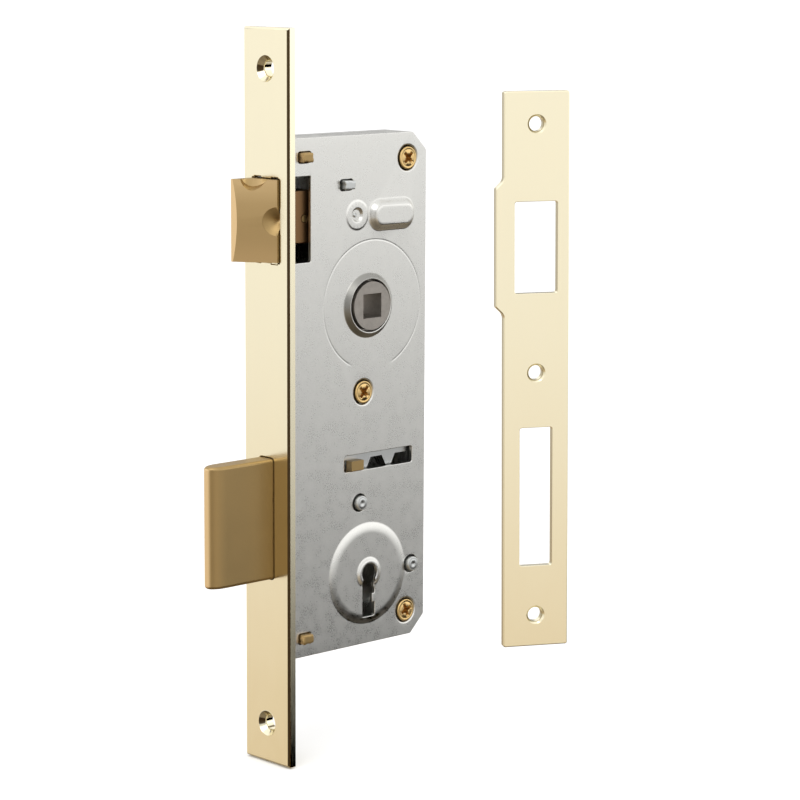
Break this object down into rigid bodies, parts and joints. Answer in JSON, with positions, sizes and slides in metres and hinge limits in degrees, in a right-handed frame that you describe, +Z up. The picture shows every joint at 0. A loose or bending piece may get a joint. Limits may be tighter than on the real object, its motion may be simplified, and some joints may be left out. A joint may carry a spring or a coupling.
{
  "type": "mortise lock",
  "caption": "Mortise lock with a brass forend, bevelled spring latch, flat deadbolt, spindle hub, keyhole and sliding levers in a flat sheet case, with its matching strike plate.",
  "frame": {"origin": "centre of the forend's back face, midway between its two screw holes", "axes": "+X into the door, away from the bolts' points; Y is the door's thickness and the removable cover looks to -Y; +Z up"},
  "size_m": [0.1695, 0.0273, 0.24],
  "materials": {
    "satin_brass": "satin, brushed lengthwise",
    "bronze_brass": "fine matt casting, bronze tone",
    "zinc_sheet": "zinc-plated sheet, fine matt grain",
    "bright_steel": "bright zinc plating",
    "lever_steel": "plain stamped steel",
    "screw_brass": "yellow plated",
    "spring_wire": "drawn spring wire"
  },
  "bodies": {
    "case": {"forend_plate": "satin_brass", "forend_bracket_upper": "bronze_brass", "forend_bracket_lower": "bronze_brass", "case_body": "zinc_sheet", "case_cover": "zinc_sheet", "cover_screw_upper": "screw_brass", "cover_screw_middle": "screw_brass", "cover_screw_lower": "screw_brass", "screw_pillar_upper": "bright_steel", "screw_pillar_middle": "bright_steel", "screw_pillar_lower": "bright_steel", "guide_post_upper": "bright_steel", "guide_post_lower": "bright_steel", "latch_spring": "spring_wire", "latch_guide": "bright_steel", "stem_rest_pin": "bright_steel", "hub_spring": "spring_wire", "hub_spring_seat": "bright_steel", "lever_spring_1": "spring_wire", "lever_spring_2": "spring_wire", "lever_spring_3": "spring_wire", "lever_spring_4": "spring_wire", "lever_spring_rail": "bright_steel"},
    "latch": {"latch_head": "bronze_brass", "latch_stem": "bright_steel", "latch_pin": "bright_steel"},
    "hub": {"spindle_hub": "bright_steel"},
    "deadbolt": {"deadbolt_head": "bronze_brass", "deadbolt_tail": "bright_steel", "deadbolt_rivets": "bronze_brass", "bolt_stump": "bronze_brass"},
    "strike": {"strike_plate": "satin_brass"},
    "lever_1_slider": {"lever_1": "bright_steel"},
    "lever_2_slider": {"lever_2": "lever_steel"},
    "lever_3_slider": {"lever_3": "lever_steel"},
    "lever_4_slider": {"lever_4": "lever_steel"}
  },
  "joints": [
    {"name": "hub_turn", "type": "hinge", "parent": "case", "child": "hub", "pos_m": [0.035, 0, 0.029], "axis": [0, 1, 0], "range_deg": [0, 25], "stiffness_Nm_per_rad": 0.8, "springref_deg": -17.19, "deforming": ["hub_spring"]},
    {"name": "latch_slide", "type": "slide", "parent": "case", "child": "latch", "axis": [1, 0, 0], "range_m": [0, 0.0085], "deforming": ["latch_spring"]},
    {"name": "bolt_slide", "type": "slide", "parent": "case", "child": "deadbolt", "axis": [1, 0, 0], "range_m": [0, 0.022]},
    {"name": "lever_1_lift", "type": "slide", "parent": "case", "child": "lever_1_slider", "axis": [0, 0, 1], "range_m": [0, 0.003], "stiffness_N_per_m": 150, "springref_m": -0.006, "deforming": ["lever_spring_1"]},
    {"name": "lever_2_lift", "type": "slide", "parent": "case", "child": "lever_2_slider", "axis": [0, 0, 1], "range_m": [0, 0.003], "stiffness_N_per_m": 150, "springref_m": -0.006, "deforming": ["lever_spring_2"]},
    {"name": "lever_3_lift", "type": "slide", "parent": "case", "child": "lever_3_slider", "axis": [0, 0, 1], "range_m": [0, 0.003], "stiffness_N_per_m": 150, "springref_m": -0.006, "deforming": ["lever_spring_3"]},
    {"name": "lever_4_lift", "type": "slide", "parent": "case", "child": "lever_4_slider", "axis": [0, 0, 1], "range_m": [0, 0.003], "stiffness_N_per_m": 150, "springref_m": -0.006, "deforming": ["lever_spring_4"]},
    {"name": "strike_lift", "type": "slide", "parent": "case", "child": "strike", "axis": [0, 0, 1], "range_m": [0, 0.06]}
  ],
  "couplings": [
    {"joint": "hub_turn", "follows": "latch_slide", "rad_per_m": 51.333}
  ]
}
